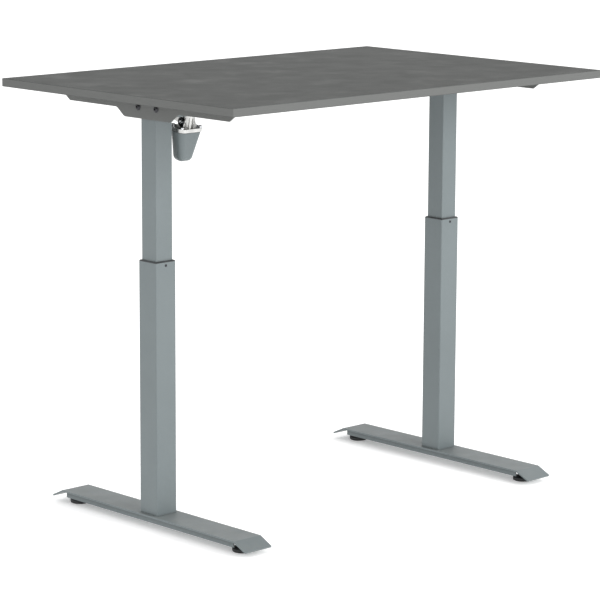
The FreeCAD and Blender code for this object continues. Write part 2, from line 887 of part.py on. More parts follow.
def beam_bolt(name):
    """A flanged round-head bolt with a hexagon socket drawn as a round recess."""
    head = D.bolt_head_radius
    height = D.bolt_head_height
    return turned_body(name, [
        (0, -9), (D.bolt_shank, -9), (D.bolt_shank, 0), (head, 0), (head, 1), (head - 1.5, 1.6),
        (head - 3, height - 0.5), (head - 4, height), (2.5, height), (2.5, 1.5), (0, 1.5),
    ])


def wood_screw(name):
    """A pan-head wood screw that points up into the table top."""
    return turned_body(name, [
        (0, -1.2), (1.5, -1.2), (1.5, -2.7), (3, -2.4), (4.2, -1.4), (4.5, 0), (2.1, 0),
        (2.1, 12.5), (0, 15),
    ])


screw_places = [
    ((column_x(sign) + D.inner_size / 2 * sign) - 18 * sign, y, underside - D.bracket_sheet, None)
    for sign in COLUMN_SIDES.values()
    for y in SCREW_ROW
]


case_screw_places = [
    (D.control_length * 0.5 * x + 7 * x, D.control_y + D.control_width * 0.3 * y,
     underside - D.lid_thick, None)
    for x in (-1, 1)
    for y in (-1, 1)
] + [
    (D.handset_x + D.handset_length * 0.5 * x + 6 * x, D.handset_y, underside - D.lid_thick, None)
    for x in (-1, 1)
]


def desk_top(name):
    """The rectangular board, with its edges eased and pilot holes below."""
    body = new_body(name)
    outline = new_sketch(body, f"{name}_outline", "XY_Plane")
    rectangle(outline, D.top_width, D.top_depth)
    board = pad(body, outline, f"{name}_board", D.top_thick)
    corners = edges_where(board, lambda edge: is_along(edge, 2))
    rounded = dress(body, "Fillet", f"{name}_corners", board, corners, D.top_edge_round * 2)
    low = 0.0
    high = D.top_thick.number
    rims = edges_where(
        rounded,
        lambda edge: all(abs(vertex.Z - low) < 0.01 for vertex in edge.Vertexes)
        or all(abs(vertex.Z - high) < 0.01 for vertex in edge.Vertexes),
    )
    dress(body, "Fillet", f"{name}_eased_edges", rounded, rims, 0.8)
    pilots = new_sketch(body, f"{name}_pilot_marks", "XY_Plane")
    for x, y, _, _ in screw_places + case_screw_places:
        circle(pilots, x, y, 2.15)
    pocket(body, pilots, f"{name}_pilot_holes", 13, reverse=True)
    return body


keep(place(desk_top("desk_top"), 0, 0, underside), "desk_top")
for side, sign in COLUMN_SIDES.items():
    keep(place(side_bracket(f"side_bracket_{side}", sign)), f"side_bracket_{side}")
keep(place(cross_beam("cross_beam")), "cross_beam")
outer_face = D.column_offset + D.inner_size / 2
keep(copies("beam_ends", beam_end, [(-outer_face, 0, 0, None), (outer_face - 3, 0, 0, None)]),
     "beam_ends")

beam_bolt_places = [
    ((outer_face + D.bracket_sheet) * sign, D.beam_bolt_offset * y_sign,
     underside - D.beam_bolt_drop, Rotation(Vector(0, 1, 0), 90 * sign))
    for sign in COLUMN_SIDES.values()
    for y_sign in (-1, 1)
]
keep(copies("beam_bolts", beam_bolt, beam_bolt_places), "beam_bolts")
keep(copies("top_screws", wood_screw, screw_places + case_screw_places), "top_screws")

# ------------------------------------------------------- lift: drive train


def drive_shaft(name):
    """The hexagonal shaft that joins both columns, with a round journal at each end."""
    body = new_body(name)
    outline = new_sketch(body, f"{name}_outline", "YZ_Plane")
    corner = D.shaft_flats * 0.57735
    flat = D.shaft_flats / 2
    polygon(outline, [
        (flat, corner / 2), (0, corner), (-flat, corner / 2),
        (-flat, -corner / 2), (0, -corner), (flat, -corner / 2),
    ])
    pad(body, outline, f"{name}_bar", (D.column_offset - D.gear_pitch - 5) * 2, midplane=True)
    ends = new_sketch(body, f"{name}_journal_outline", "YZ_Plane")
    circle(ends, 0, 0, D.shaft_journal)
    pad(body, ends, f"{name}_journals", (D.column_offset - 7) * 2, midplane=True)
    return body


def worm_wheel(name):
    """The toothed wheel on the drive shaft. Its axis is Z and one tooth points along X."""
    body = new_body(name)
    disc = new_sketch(body, f"{name}_disc_outline", "XY_Plane")
    circle(disc, 0, 0, D.wheel_root)
    circle(disc, 0, 0, D.shaft_flats * 0.58)
    pad(body, disc, f"{name}_disc", D.wheel_face, midplane=True)
    outline = new_sketch(body, f"{name}_tooth_outline", "XY_Plane")
    middle = (D.wheel_root + D.wheel_tip) / 2 - 0.2
    rectangle(outline, D.wheel_tip - D.wheel_root + 0.4, D.wheel_tooth, middle, 0)
    tooth = pad(body, outline, f"{name}_tooth", D.wheel_face, midplane=True)
    ring = body.newObject("PartDesign::PolarPattern", f"{name}_teeth")
    ring.Originals = [tooth]
    for feature in body.Origin.OriginFeatures:
        if feature.Role == "Z_Axis":
            ring.Axis = (feature, [""])
    ring.Angle = 360
    ring.setExpression("Occurrences", D.wheel_teeth.text)
    body.Tip = ring
    doc.recompute()
    return body


def worm(name):
    """The two-start worm on its own shaft, which is also the motor's shaft."""
    core = cylinder(f"{name}_core", D.worm_core, D.worm_length, (0, 0, -D.worm_length / 2))
    upper = cylinder(f"{name}_upper_pin", 4, 30, (0, 0, -15))
    lower = cylinder(f"{name}_motor_pin", D.worm_pin, 85, (0, 0, -95))
    axial_pitch = 3.14159 * WHEEL_MODULE
    shapes = [core, upper, lower]
    for start in range(2):
        helix = doc.addObject("Part::Helix", f"{name}_path_{start + 1}")
        helix.Pitch = axial_pitch * 2
        helix.Height = axial_pitch * 6
        helix.setExpression("Radius", D.worm_core.text)
        helix.Placement = Placement(
            Vector(0, 0, -axial_pitch * 3), Rotation(Vector(0, 0, 1), 180 * start)
        )
        inner = DIMENSIONS["worm_core"] - 0.7
        outer = DIMENSIONS["worm_tip"]
        half = DIMENSIONS["wheel_tooth"] / 2
        corners = [(inner, -half), (outer, -half * 0.8), (outer, half * 0.8), (inner, half)]
        section = doc.addObject("Part::Polygon", f"{name}_section_{start + 1}")
        section.Nodes = [Vector(r, 0, z) for r, z in corners]
        section.Close = True
        section.Placement = helix.Placement
        thread = doc.addObject("Part::Sweep", f"{name}_thread_{start + 1}")
        thread.Sections = [section]
        thread.Spine = (helix, ["Edge1"])
        thread.Solid = True
        thread.Frenet = True
        shapes.append(thread)
    return fuse(name, shapes)


def motor_rotor(name):
    """The wound rotor core pressed on the motor's shaft."""
    radius = D.rotor_radius
    pin = D.worm_pin
    return turned_body(name, [
        (pin, -92), (radius - 3, -92), (radius, -89), (radius, -55), (radius - 3, -52),
        (radius - 2, -50), (radius - 2, -44), (pin, -44),
    ])


def motor_can(name):
    """The steel can round the rotor, closed below and lined with magnets."""
    outer = D.rotor_radius + 5
    inner = D.rotor_radius + 3.5
    return turned_body(name, [
        (0, -98), (outer, -98), (outer, -35), (inner, -35), (inner, -96.5), (0, -96.5),
    ])


def magnet_ring(name):
    """The ring of magnets inside the can."""
    outer = D.rotor_radius + 3.5
    inner = D.rotor_radius + 0.8
    return turned_body(name, [(inner, -93), (outer, -93), (outer, -51), (inner, -51)])


def tapered_block(body, name, sizes, low, high):
    """A block lofted between two rectangles, given as upper and lower width and depth."""
    upper_width, upper_depth, lower_width, lower_depth = sizes
    upper = new_sketch(body, f"{name}_upper_outline", "XY_Plane", high)
    rectangle(upper, upper_width, upper_depth)
    lower = new_sketch(body, f"{name}_lower_outline", "XY_Plane", low)
    rectangle(lower, lower_width, lower_depth)
    loft = body.newObject("PartDesign::AdditiveLoft", f"{name}_loft")
    loft.Profile = upper
    loft.Sections = [lower]
    doc.recompute()
    return loft


def is_upright(edge):
    return abs(edge.Vertexes[0].Z - edge.Vertexes[-1].Z) > 5


def rounded_cover(name, sizes, corner, low, high):
    """A tapered block with rounded upright edges and a rounded lower rim."""
    body = new_body(name)
    block = tapered_block(body, name, sizes, low, high)
    sides = edges_where(block, is_upright)
    rounded = dress(body, "Fillet", f"{name}_side_rounds", block, sides, corner)
    rims = edges_where(
        rounded,
        lambda edge: all(abs(vertex.Z - low.number) < 0.01 for vertex in edge.Vertexes),
    )
    dress(body, "Fillet", f"{name}_lower_round", rounded, rims, corner)
    return body


def motor_cover(name):
    """The tapered oblong cover of the motor, open above, with a rounded lower end."""
    high = -D.flange_drop - D.flange_thick
    low = high - D.cover_length
    sizes = [D.cover_width, D.cover_depth, D.cover_lower_width, D.cover_lower_depth]
    inner_sizes = [size - D.cover_wall * 2 for size in sizes]
    outside = rounded_cover(f"{name}_outside", sizes, D.cover_round, low, high)
    inside = rounded_cover(f"{name}_inside", inner_sizes, D.cover_round - D.cover_wall,
                           low + D.cover_wall, high)
    return cut(name, outside, inside)


def gear_housing(name):
    """The cast housing: a drum round the wheel, a sleeve round the worm, and the flange."""
    tilt = Rotation(Vector(1, 0, 0), DIMENSIONS["motor_tilt"])
    along_x = Rotation(Vector(0, 1, 0), 90)
    worm_centre = (-D.motor_x, worm_y, worm_z)

    def on_worm_axis(item, x, y, z):
        """Places an object by a point in the frame of the worm, whose axis leans."""
        item.Placement = Placement(Vector(0, 0, 0), tilt)
        start = tilt.multVec(Vector(x, y, z))
        for axis, base, step in zip("xyz", worm_centre, start):
            item.setExpression(f"Placement.Base.{axis}", (base + step).text)
        return item

    def worm_cylinder(part, radius, low, high):
        """A cylinder round the worm axis between two heights along it."""
        item = cylinder(f"{name}_{part}", radius, high - low, (0, 0, 0), tilt)
        return on_worm_axis(item, 0, 0, low)

    drum = cylinder(f"{name}_drum", D.drum_radius, D.drum_near + D.drum_far,
                    (-D.motor_x - D.drum_near, 0, D.shaft_height), along_x)
    lug_bottom = D.shaft_height + D.drum_radius - 6
    lug = centred_box(f"{name}_lug", (18, 24, underside - 3 - D.beam_sheet - lug_bottom),
                      (-D.motor_x + 4, 0), lug_bottom)
    flange_top = -DIMENSIONS["flange_drop"]
    flange_bottom = flange_top - DIMENSIONS["flange_thick"]
    sleeve = worm_cylinder("sleeve", D.case_radius, flange_top - 1, 17)
    plate = box(f"{name}_plate", (D.flange_width, D.flange_depth, D.flange_thick), (0, 0, 0))
    flange = doc.addObject("Part::Fillet", f"{name}_flange")
    flange.Base = plate
    doc.recompute()
    flange.Edges = [
        (index, DIMENSIONS["flange_round"], DIMENSIONS["flange_round"])
        for index, edge in enumerate(plate.Shape.Edges, start=1)
        if is_along(edge, 2)
    ]
    on_worm_axis(
        flange, -DIMENSIONS["flange_width"] / 2, -DIMENSIONS["flange_depth"] / 2, flange_bottom
    )
    boss = cylinder(f"{name}_boss", D.cap_radius, cap_reach, (-D.motor_x - cap_reach, cap_y, cap_z), along_x)
    solid = fuse(f"{name}_casting", [drum, lug, sleeve, flange, boss])
    wheel_room = cylinder(f"{name}_wheel_room", D.wheel_tip + 0.9, D.drum_near + D.drum_far,
                          (-D.motor_x - D.drum_near + 3, 0, D.shaft_height), along_x)
    worm_room = worm_cylinder("worm_room", D.worm_tip + 1, -22, 13.5)
    pin_room = worm_cylinder("pin_room", 5, -40, 0)
    shaft_hole = cylinder(f"{name}_shaft_hole", D.shaft_flats * 0.62, 60,
                          (-D.motor_x - 30, 0, D.shaft_height), along_x)
    upper_hole = worm_cylinder("upper_hole", 4.3, 0, 18)
    screw_holes = []
    for number, (x, y) in enumerate(FLANGE_CORNERS, start=1):
        hole = cylinder(f"{name}_screw_hole_{number}", 2.05, 20, (0, 0, 0))
        screw_holes.append(on_worm_axis(hole, x, y, flange_bottom - 5))
    voids = fuse(f"{name}_voids", [wheel_room, worm_room, pin_room, shaft_hole, upper_hole]
                 + screw_holes)
    return cut(name, solid, voids)


def gear_cover(name):
    """The round cover of the drum, with a raised ring where the shaft goes through."""
    inner = D.shaft_flats * 0.62
    rim = D.drum_radius
    return turned_body(name, [
        (inner, 0), (rim, 0), (rim, 2), (rim - 1, 3), (inner + 5, 3), (inner + 4, 6),
        (inner + 1, 6), (inner, 5),
    ])


def bearing_cap(name):
    """The ringed cap on the boss beside the worm."""
    rim = D.cap_radius
    return turned_body(name, [
        (0, 0), (rim, 0), (rim, 2), (rim - 1.5, 3.5), (rim - 4, 3.5), (rim - 5, 1.5),
        (rim - 6, 1.5), (rim - 7, 3), (0, 3.6),
    ])


def flange_screw(name):
    """A cap screw that holds the motor flange, with a round recess for the key."""
    return turned_body(name, [
        (0, -4), (2, -4), (2, 0), (4.2, 0), (4.2, 3.8), (3.7, 4.4), (2, 4.4), (2, 2), (0, 2),
    ])


WHEEL_MODULE = 1.25
FLANGE_CORNERS = [(-27, -15.5), (27, -15.5), (27, 15.5), (-27, 15.5)]
tilt_turn = Rotation(Vector(1, 0, 0), DIMENSIONS["motor_tilt"])
toward_worm = tilt_turn.multVec(Vector(0, -1, 0))
worm_y = D.worm_distance * toward_worm.y
worm_z = D.shaft_height + D.worm_distance * toward_worm.z
cap_y = as_size(-22)
cap_z = as_size(940)
cap_reach = as_size(16)
x_turn = Rotation(Vector(0, 1, 0), 90)

keep(place(drive_shaft("drive_shaft"), 0, 0, D.shaft_height), "drive_shaft")
wheel_turn = Rotation(Vector(1, 0, 0), DIMENSIONS["motor_tilt"] - 90).multiply(x_turn)
keep(place(worm_wheel("worm_wheel"), -D.motor_x, 0, D.shaft_height, wheel_turn), "worm_wheel")
motor_makers = {
    "worm_shaft": worm,
    "motor_rotor": motor_rotor,
    "motor_can": motor_can,
    "motor_magnets": magnet_ring,
    "motor_cover": motor_cover,
}
for label, maker in motor_makers.items():
    keep(place(maker(label), -D.motor_x, worm_y, worm_z, tilt_turn), label)
keep(place(gear_housing("gear_housing")), "gear_housing")
outward_turn = Rotation(Vector(0, 1, 0), -90)
keep(place(gear_cover("gear_cover"), -D.motor_x + D.drum_far, 0, D.shaft_height, x_turn),
     "gear_cover")
keep(place(bearing_cap("bearing_cap"), -D.motor_x - cap_reach, cap_y, cap_z, outward_turn),
     "bearing_cap")

flange_screw_places = []
for x, y in FLANGE_CORNERS:
    spot = tilt_turn.multVec(Vector(x, y, -DIMENSIONS["flange_drop"]))
    flange_screw_places.append(
        (-D.motor_x + spot.x, worm_y + spot.y, worm_z + spot.z, tilt_turn)
    )
keep(copies("flange_screws", flange_screw, flange_screw_places), "flange_screws")

# ------------------------------------------------- lift: control box, handset

control_bottom = underside - D.control_height
control_top = underside - D.lid_thick
socket_x = -D.control_length / 2
sockets = {
    "power": (-24, 27, 20),
    "motor": (6, 16, 12),
    "handset": (30, 12, 10),
}


def control_case(name):
    """The plastic tray of the control box, open above, with a cut-out for each socket."""
    shell = centred_box(
        f"{name}_block", (D.control_length, D.control_width, control_top - control_bottom),
        (0, D.control_y), control_bottom,
    )
    room = centred_box(
        f"{name}_room", (D.control_length - 5, D.control_width - 5, D.control_height),
        (0, D.control_y), control_bottom + 2.5,
    )
    openings = [
        box(f"{name}_{label}_opening", (8, width, height),
            (socket_x - 2, D.control_y + y - width / 2, control_bottom + 5))
        for label, (y, width, height) in sockets.items()
    ]
    vents = [
        box(f"{name}_vent_{index + 1}", (2.5, D.control_width * 0.5, 6),
            (-40 + 10 * index, D.control_y - D.control_width * 0.25, control_bottom - 2))
        for index in range(9)
    ]
    return cut(name, shell, fuse(f"{name}_voids", [room] + openings + vents))


def control_lid(name):
    """The lid of the control box, with an ear at each end for its screws."""
    lid = centred_box(f"{name}_plate", (D.control_length + 26, D.control_width, D.lid_thick),
                      (0, D.control_y), control_top)
    holes = [
        cylinder(f"{name}_hole_{index}", 2.2, 10, (x, y, control_top - 2))
        for index, (x, y, _, _) in enumerate(case_screw_places[:4])
    ]
    return cut(name, lid, fuse(f"{name}_holes", holes))


def control_socket(label, y, width, height):
    """One socket block: a rim round a recess, set in the end wall of the box."""
    block = box(f"{label}_socket_block", (12, width, height),
                (socket_x - 1, D.control_y + y - width / 2, control_bottom + 5))
    recess = box(f"{label}_socket_recess", (9, width - 4, height - 4),
                 (socket_x - 2, D.control_y + y - width / 2 + 2, control_bottom + 7))
    return cut(f"{label}_socket", block, recess)


keep(control_case("control_case"), "control_case")
keep(control_lid("control_lid"), "control_lid")
board = centred_box("circuit_board", (D.control_length - 50, D.control_width - 14, 1.6),
                    (12, D.control_y), control_bottom + 2.5)
keep(board, "circuit_board")
keep(group("control_sockets", [
    control_socket(label, *size) for label, size in sockets.items()
]), "control_sockets")

handset_bottom = underside - D.handset_height
handset_front = D.handset_y + D.handset_depth / 2
BUTTONS = {"up": -1, "down": 1}


def button_corner(direction, gap):
    """The low corner of a button, or of its well when a gap is given."""
    middle = D.handset_x + D.button_size * 0.9 * direction
    return (
        middle - D.button_size / 2 - gap,
        handset_front - 6 - gap * 8,
        handset_bottom + D.handset_height * 0.28 - gap,
    )


def handset_case(name):
    """The handset's case, with a well for each button and an ear at each end."""
    block = centred_box(f"{name}_block", (D.handset_length, D.handset_depth, D.handset_height),
                        (D.handset_x, D.handset_y), handset_bottom)
    ears = centred_box(f"{name}_ears", (D.handset_length + 24, 16, D.lid_thick),
                       (D.handset_x, D.handset_y), underside - D.lid_thick)
    edges = doc.addObject("Part::Fillet", f"{name}_rounded")
    edges.Base = block
    doc.recompute()
    low = handset_bottom.number
    edges.Edges = [
        (index, 3.0, 3.0)
        for index, edge in enumerate(block.Shape.Edges, start=1)
        if abs(edge.CenterOfMass.z - low) < 0.01 and is_along(edge, 0)
    ]
    solid = fuse(f"{name}_solid", [edges, ears])
    wells = [
        box(f"{name}_{label}_well", (D.button_size + 0.6, 20, D.button_size * 0.7 + 0.6),
            button_corner(direction, 0.3))
        for label, direction in BUTTONS.items()
    ]
    holes = [
        cylinder(f"{name}_hole_{index}", 2.2, 10, (x, y, underside - 5))
        for index, (x, y, _, _) in enumerate(case_screw_places[4:])
    ]
    return cut(name, solid, fuse(f"{name}_voids", wells + holes))


def button(name, direction):
    """A square push button with eased edges on its face."""
    block = box(f"{name}_block", (D.button_size, 9, D.button_size * 0.7),
                button_corner(direction, 0))
    eased = doc.addObject("Part::Fillet", name)
    eased.Base = block
    doc.recompute()
    front = block.Shape.BoundBox.YMax
    eased.Edges = [
        (index, 1.2, 1.2)
        for index, edge in enumerate(block.Shape.Edges, start=1)
        if all(abs(vertex.Y - front) < 0.01 for vertex in edge.Vertexes)
    ]
    return eased


keep(handset_case("handset_case"), "handset_case")
for label, direction in BUTTONS.items():
    keep(button(f"button_{label}", direction), f"button_{label}")

# ------------------------------------------------------------------- output

doc.recompute()
for item in doc.Objects:
    if "Invalid" in item.State or "Error" in item.State:
        raise RuntimeError(f"{item.Name} is in state {item.State}")
for item in NODES:
    shape = item.Shape
    if shape.isNull() or not shape.isValid() or not shape.Solids:
        raise RuntimeError(f"{item.Label} has no valid solid")
    shape.exportStep(f"parts/{item.Label}.step")
    print(item.Label, len(shape.Solids), round(shape.Volume))
print(len(NODES), "nodes")
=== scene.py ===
"""Looks of a height adjustable standing desk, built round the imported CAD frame.

Lengths are in metres. X runs along the desk, the camera stands on the -X -Y side, and
Z is up from the floor.
"""

import math

import bmesh
import bpy
from mathutils import Matrix, Vector


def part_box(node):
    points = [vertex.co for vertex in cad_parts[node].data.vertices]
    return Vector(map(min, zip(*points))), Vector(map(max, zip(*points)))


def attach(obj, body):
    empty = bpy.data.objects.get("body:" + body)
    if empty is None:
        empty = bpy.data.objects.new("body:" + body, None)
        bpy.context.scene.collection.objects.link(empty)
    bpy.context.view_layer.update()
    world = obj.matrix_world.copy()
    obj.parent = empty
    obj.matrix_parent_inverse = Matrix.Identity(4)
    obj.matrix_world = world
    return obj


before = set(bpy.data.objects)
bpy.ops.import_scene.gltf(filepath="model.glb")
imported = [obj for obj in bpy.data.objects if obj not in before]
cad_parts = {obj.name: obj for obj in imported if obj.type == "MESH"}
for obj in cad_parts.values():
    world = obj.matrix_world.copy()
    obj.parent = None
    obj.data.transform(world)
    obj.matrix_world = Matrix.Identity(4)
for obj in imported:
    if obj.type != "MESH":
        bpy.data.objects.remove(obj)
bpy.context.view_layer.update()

MM = 0.001
CAMERA_AIM = Vector((-0.0248, -0.0053, 0.477))
CAMERA_DISTANCE = 6.523
CAMERA_YAW = math.radians(43.662)
CAMERA_PITCH = math.radians(10.789)
CAMERA_ROLL = math.radians(0.285)
CAMERA_LENS = 163.2
MOTOR_TILT = math.radians(11.4)
WORM_DISTANCE = 26.6 * MM
FLANGE_TOP = -27.0 * MM
FLANGE_BOTTOM = -35.0 * MM

PAINT = (0.135, 0.159, 0.164)
# Painted shade and reflection: the frame paint made darker and greyer on the bracket, for the
# shade under the top and the top's dark reflection.
BRACKET_SHADED_PAINT = (0.102, 0.106, 0.102)
TOP_FACE = (0.035, 0.038, 0.035)
TOP_BAND = (0.106, 0.109, 0.106)
DUST = (0.24, 0.24, 0.23)
# The dark colour of the shade painted into crevices and under overhangs.
CREVICE_SHADE_COLOUR = (0.040, 0.042, 0.042)
FACING_BACK = Matrix.Rotation(math.radians(-90), 4, "X")


# ------------------------------------------------------------------ shader helpers


class Shader:
    """A node material on a Principled surface. Most methods add a node, return its output."""

    def __init__(self, name):
        self.material = bpy.data.materials.new(name)
        self.material.use_nodes = True
        self.nodes = self.material.node_tree.nodes
        self.links = self.material.node_tree.links
        self.surface = self.nodes["Principled BSDF"]
        coordinates = self.nodes.new("ShaderNodeTexCoord")
        self.place = coordinates.outputs["Object"]
        self.facing = coordinates.outputs["Normal"]

    def connect(self, value, socket):
        """Links an output to a socket, or sets the socket to a plain value."""
        if isinstance(value, bpy.types.NodeSocket):
            self.links.new(value, socket)
        elif isinstance(value, tuple) and len(value) == 3 and socket.type == "RGBA":
            socket.default_value = (*value, 1.0)
        else:
            socket.default_value = value

    def set_uniform(self, **settings):
        """Sets uniform values straight on the surface's own sockets."""
        for label, value in settings.items():
            self.surface.inputs[label.replace("_", " ")].default_value = value

    def stretched(self, x, y, z):
        """The place, scaled along each axis, so that a texture is drawn out along one."""
        node = self.nodes.new("ShaderNodeVectorMath")
        node.operation = "MULTIPLY"
        self.connect(self.place, node.inputs[0])
        node.inputs[1].default_value = (x, y, z)
        return node.outputs[0]

    def noise(self, scale, detail=3.0, roughness=0.55, place=None):
        node = self.nodes.new("ShaderNodeTexNoise")
        node.inputs["Scale"].default_value = scale
        node.inputs["Detail"].default_value = detail
        node.inputs["Roughness"].default_value = roughness
        self.connect(place or self.place, node.inputs["Vector"])
        return node.outputs["Fac"]

    def cells(self, scale):
        """The distance to the nearest point of a random scatter, for specks and pits."""
        node = self.nodes.new("ShaderNodeTexVoronoi")
        node.inputs["Scale"].default_value = scale
        self.connect(self.place, node.inputs["Vector"])
        return node.outputs["Distance"]

    def span(self, value, low, high, start=0.0, end=1.0):
        """Maps a value from low..high to start..end, and holds it there."""
        node = self.nodes.new("ShaderNodeMapRange")
        self.connect(value, node.inputs["Value"])
        node.inputs["From Min"].default_value = low
        node.inputs["From Max"].default_value = high
        node.inputs["To Min"].default_value = start
        node.inputs["To Max"].default_value = end
        return node.outputs["Result"]

    def math(self, operation, first, second=0.0):
        node = self.nodes.new("ShaderNodeMath")
        node.operation = operation
        self.connect(first, node.inputs[0])
        self.connect(second, node.inputs[1])
        return node.outputs[0]

    def axis(self, vector, letter):
        """One component of a vector output."""
        node = self.nodes.new("ShaderNodeSeparateXYZ")
        self.connect(vector, node.inputs[0])
        return node.outputs[letter]

    def blend(self, factor, first, second):
        """A colour between two, by a factor from 0 to 1."""
        node = self.nodes.new("ShaderNodeMix")
        node.data_type = "RGBA"
        self.connect(factor, node.inputs[0])
        self.connect(first, node.inputs[6])
        self.connect(second, node.inputs[7])
        return node.outputs[2]

    def edges(self, radius):
        """1 on sharp edges, 0 on flat faces, from how a rounded normal leans away."""
        rounded = self.nodes.new("ShaderNodeBevel")
        rounded.inputs["Radius"].default_value = radius
        rounded.samples = 4
        true_normal = self.nodes.new("ShaderNodeNewGeometry").outputs["Normal"]
        dot = self.nodes.new("ShaderNodeVectorMath")
        dot.operation = "DOT_PRODUCT"
        self.connect(rounded.outputs[0], dot.inputs[0])
        self.connect(true_normal, dot.inputs[1])
        return self.span(dot.outputs["Value"], 0.985, 0.80)

    def crevice_shade_mask(self, distance):
        """1 deep in a crevice, 0 on open faces, from ambient occlusion within a distance: a mask
        of painted shade.
        """
        node = self.nodes.new("ShaderNodeAmbientOcclusion")
        node.samples = 6
        node.inputs["Distance"].default_value = distance
        return self.span(node.outputs["AO"], 0.92, 0.50)

    def relief(self, height, distance, strength=1.0):
        """Bumps the surface by a height output, in metres of distance."""
        node = self.nodes.new("ShaderNodeBump")
        node.inputs["Strength"].default_value = strength
        node.inputs["Distance"].default_value = distance
        self.connect(height, node.inputs["Height"])
        self.links.new(node.outputs[0], self.surface.inputs["Normal"])

    def finish(self, colour, roughness):
        self.connect(colour, self.surface.inputs["Base Color"])
        self.connect(roughness, self.surface.inputs["Roughness"])
        return self.material


def shade(colour, factor):
    """A colour made lighter or darker."""
    return tuple(channel * factor for channel in colour)


# ----------------------------------------------------------------------- materials


def powder_coat(name, colour, roughness=0.42, wear=0.55, dust=0.5, crevice_shade=0.4, reach=6 * MM):
    """Baked powder paint on steel: fine orange peel, faint cloudiness, rubbed edges, dust,
    painted crevice shade.

    The second last argument is how dark the painted shade in crevices is, and reach is how far
    out of them it spreads.
    """
    s = Shader(name)
    s.set_uniform(Specular_IOR_Level=0.38)
    cloud = s.span(s.noise(5, 2), 0.3, 0.7)
    mottle = s.span(s.noise(75, 4), 0.25, 0.75)
    base = s.blend(cloud, shade(colour, 0.955), shade(colour, 1.035))
    base = s.blend(s.math("MULTIPLY", mottle, 0.35), base, shade(colour, 0.93))
    specks = s.span(s.cells(620), 0.12, 0.05)
    base = s.blend(s.math("MULTIPLY", specks, 0.5), base, shade(colour, 1.35))
    rubbed = s.math("MULTIPLY", s.edges(1.1 * MM), s.span(s.noise(38, 4), 0.38, 0.66))
    base = s.blend(s.math("MULTIPLY", rubbed, wear), base, shade(colour, 1.55))
    upward = s.span(s.axis(s.facing, "Z"), 0.80, 1.0)
    settled = s.math("MULTIPLY", upward, s.span(s.noise(28, 5, 0.65), 0.15, 0.85))
    base = s.blend(s.math("MULTIPLY", settled, dust), base, DUST)
    # Painted shade: ambient occlusion darkens the paint in crevices and under overhangs.
    base = s.blend(s.math("MULTIPLY", s.crevice_shade_mask(reach), crevice_shade), base, CREVICE_SHADE_COLOUR)
    peel = s.noise(420, 2)
    fine = s.noise(2100, 2)
    s.relief(s.math("ADD", peel, s.math("MULTIPLY", fine, 0.35)), 0.10 * MM, 0.55)
    rough = s.span(s.noise(22, 4), 0.3, 0.7, roughness - 0.05, roughness + 0.07)
    rough = s.math("ADD", rough, s.math("MULTIPLY", settled, 0.2))
    return s.finish(base, rough)


def laminate_top(name, low, high):
    """The pressed laminate of the top, its edge band, and the pale backing sheet below.

    low and high are the corners of the panel. The band is the outermost skin of the four
    edges. A dark hairline marks where it meets the faces.
    """
    s = Shader(name)
    s.set_uniform(Specular_IOR_Level=0.17)
    upright = s.axis(s.facing, "Z")
    height = s.axis(s.place, "Z")
    cloud = s.span(s.noise(2.6, 3), 0.3, 0.7)
    grain = s.span(s.noise(260, 4, 0.6, s.stretched(0.35, 1, 1)), 0.3, 0.7)
    specks = s.span(s.cells(900), 0.16, 0.07)
    face = s.blend(cloud, shade(TOP_FACE, 0.985), shade(TOP_FACE, 1.015))
    face = s.blend(s.math("MULTIPLY", grain, 0.4), face, shade(TOP_FACE, 0.86))
    face = s.blend(s.math("MULTIPLY", specks, 0.45), face, shade(TOP_FACE, 1.5))
    smudge = s.span(s.noise(9, 5, 0.62), 0.52, 0.74)
    face = s.blend(s.math("MULTIPLY", smudge, 0.035), face, DUST)

    band_grain = s.span(s.noise(190, 4, 0.6, s.stretched(0.25, 0.25, 3)), 0.3, 0.7)
    band = s.blend(band_grain, shade(TOP_BAND, 0.94), shade(TOP_BAND, 1.05))
    scuffs = s.math("MULTIPLY", s.edges(0.9 * MM), s.span(s.noise(55, 5), 0.45, 0.7))
    band = s.blend(s.math("MULTIPLY", scuffs, 0.6), band, shade(TOP_BAND, 1.7))
    backing = s.blend(grain, shade(TOP_FACE, 0.78), shade(TOP_FACE, 0.90))

    on_face = s.span(upright, 0.55, 0.75)
    on_back = s.span(upright, -0.55, -0.75)
    colour = s.blend(on_face, band, face)
    colour = s.blend(on_back, colour, backing)
    from_top = s.math("ABSOLUTE", s.math("SUBTRACT", height, high.z - 0.9 * MM))
    from_back = s.math("ABSOLUTE", s.math("SUBTRACT", height, low.z + 0.9 * MM))
    hairline = s.span(s.math("MINIMUM", from_top, from_back), 0.30 * MM, 0.12 * MM)
    colour = s.blend(s.math("MULTIPLY", hairline, 0.7), colour, shade(TOP_FACE, 0.45))

    texture = s.math("ADD", s.noise(520, 3), s.math("MULTIPLY", s.noise(1700, 2), 0.5))
    s.relief(texture, 0.07 * MM, 0.5)
    rough = s.span(s.noise(14, 4), 0.3, 0.7, 0.54, 0.60)
    rough = s.math("SUBTRACT", rough, s.math("MULTIPLY", smudge, 0.06))
    return s.finish(colour, rough)


def moulded_plastic(name, colour, roughness=0.5, texture=0.16):
    """Injection moulded plastic with a spark-eroded texture, dust and rubbed edges."""
    s = Shader(name)
    s.set_uniform(Specular_IOR_Level=0.45)
    flow = s.span(s.noise(16, 3), 0.3, 0.7)
    base = s.blend(flow, shade(colour, 0.92), shade(colour, 1.08))
    rubbed = s.math("MULTIPLY", s.edges(0.6 * MM), s.span(s.noise(90, 4), 0.35, 0.7))
    base = s.blend(s.math("MULTIPLY", rubbed, 0.4), base, shade(colour, 2.2))
    dust = s.math("MULTIPLY", s.span(s.noise(48, 5, 0.65), 0.50, 0.80), 0.10)
    base = s.blend(dust, base, DUST)
    s.relief(s.noise(1500, 3, 0.7), texture * MM, 0.6)
    rough = s.span(s.noise(60, 4), 0.3, 0.7, roughness - 0.07, roughness + 0.08)
    return s.finish(base, rough)


